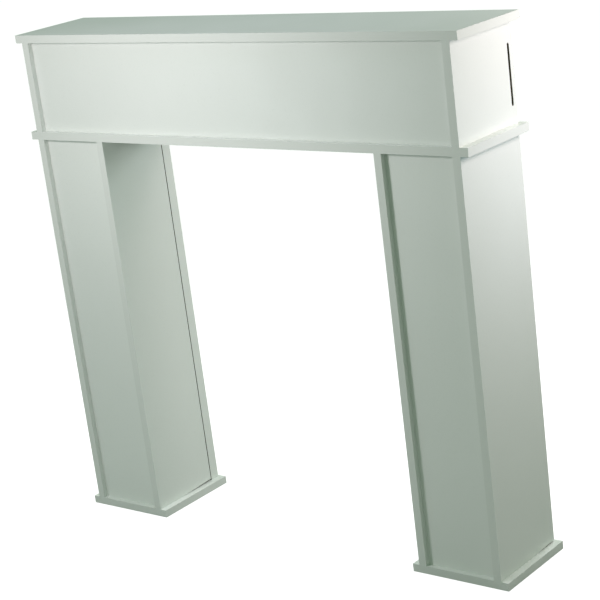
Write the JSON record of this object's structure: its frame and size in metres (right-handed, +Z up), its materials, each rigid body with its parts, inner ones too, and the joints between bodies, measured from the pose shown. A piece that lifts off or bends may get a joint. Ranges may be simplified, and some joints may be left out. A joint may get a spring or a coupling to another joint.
{
  "type": "electric fireplace surround",
  "caption": "White free-standing surround for an electric fireplace: a shelf on a boxed header, a waist board and boxed legs on plinths, with an open middle for the heater.",
  "frame": {"origin": "centre of the footprint, on the floor under the plinths", "axes": "+Z up, the front faces -Y, +X to the right as seen from the front"},
  "size_m": [1, 0.186, 0.965],
  "materials": {
    "painted_board": "satin white lacquer on medium-density fibreboard",
    "zinc_fitting": "die-cast zinc",
    "steel_screw": "bright zinc plating",
    "beech_dowel": "bare beech"
  },
  "bodies": {
    "root": {"top_board": "painted_board", "waist_board": "painted_board", "header_front_panel": "painted_board", "header_side_left": "painted_board", "header_side_right": "painted_board", "header_back_rail": "painted_board", "leg_outer_side_left": "painted_board", "leg_outer_side_right": "painted_board", "leg_inner_side_left": "painted_board", "leg_inner_side_right": "painted_board", "leg_front_panel_left": "painted_board", "leg_front_panel_right": "painted_board", "leg_back_board_left": "painted_board", "leg_back_board_right": "painted_board", "leg_rear_post_left": "painted_board", "leg_rear_post_right": "painted_board", "plinth_left": "painted_board", "plinth_right": "painted_board", "header_cam_nuts": "zinc_fitting", "header_cam_bolts": "zinc_fitting", "leg_cam_nuts_left": "zinc_fitting", "leg_cam_nuts_right": "zinc_fitting", "leg_cam_bolts_left": "zinc_fitting", "leg_cam_bolts_right": "zinc_fitting", "back_rail_screws": "steel_screw", "plinth_screws_left": "steel_screw", "plinth_screws_right": "steel_screw", "post_screws_left": "steel_screw", "post_screws_right": "steel_screw", "header_dowels": "beech_dowel", "leg_dowels_left": "beech_dowel", "leg_dowels_right": "beech_dowel"}
  },
  "joints": []
}
